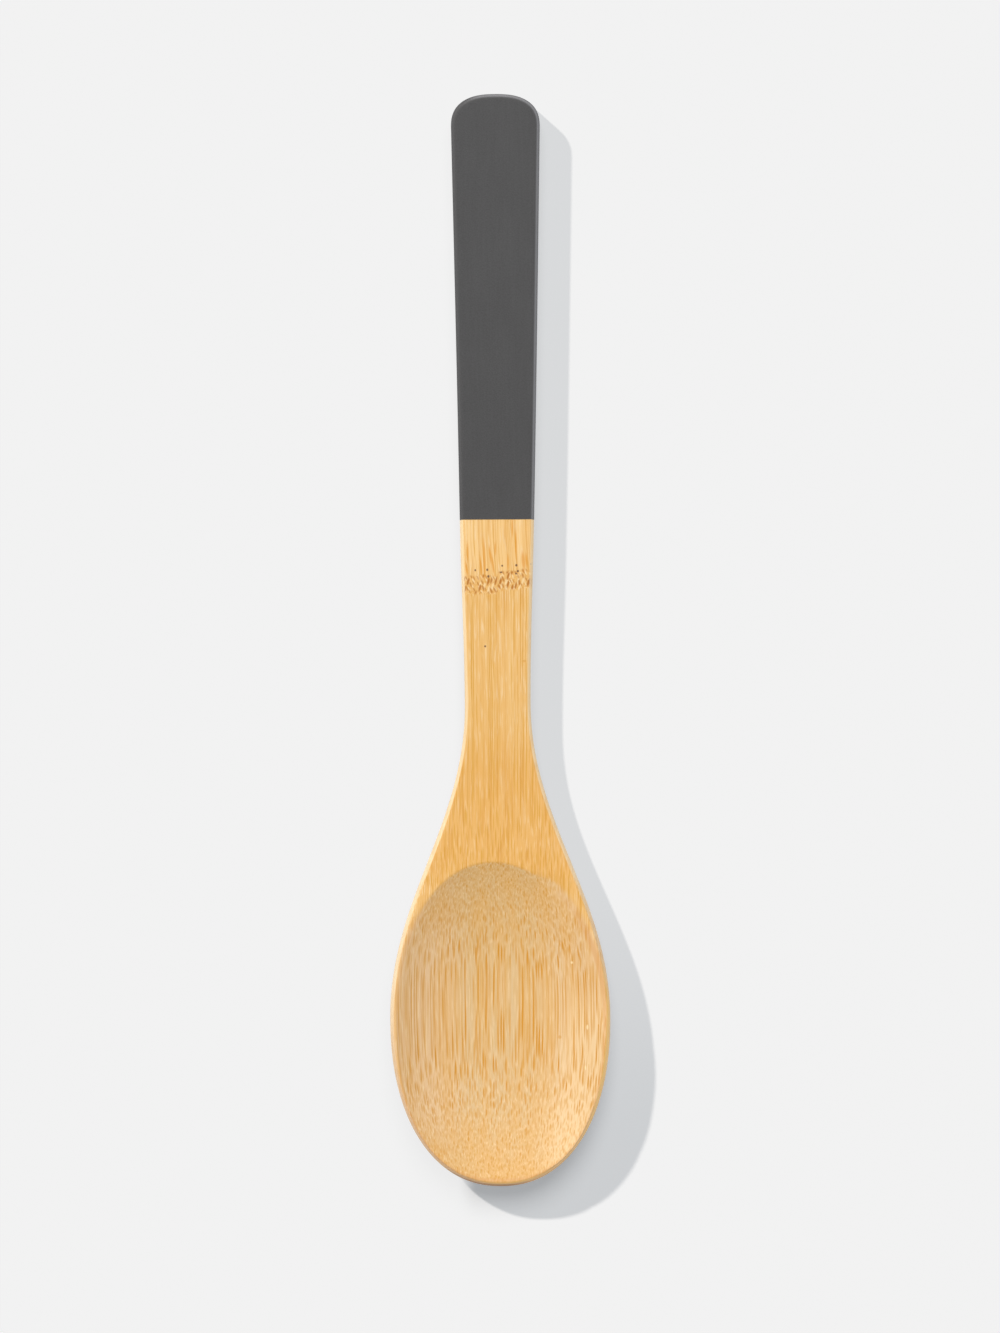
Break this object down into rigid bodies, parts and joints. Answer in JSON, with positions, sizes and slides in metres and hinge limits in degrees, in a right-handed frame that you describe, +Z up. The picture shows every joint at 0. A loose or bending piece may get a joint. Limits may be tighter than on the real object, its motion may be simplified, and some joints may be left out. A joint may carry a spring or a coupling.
{
  "type": "serving spoon",
  "caption": "Bamboo serving spoon with a deep oval bowl, a drawn-in waist and a flat handle whose grip wears a matt grey coat.",
  "frame": {"origin": "on the plane that the spoon rests on, midway along its length and on its centreline", "axes": "+Y along the spoon, from the bowl's tip to the handle's end; +X across it; +Z up, out of the bowl's mouth"},
  "size_m": [0.0604, 0.3, 0.0121],
  "materials": {
    "bamboo": "fine-sanded bamboo with a thin oil finish",
    "coat": "matt dark grey paint"
  },
  "bodies": {
    "root": {"bamboo_blank": "bamboo", "handle_coat": "coat"}
  },
  "joints": []
}
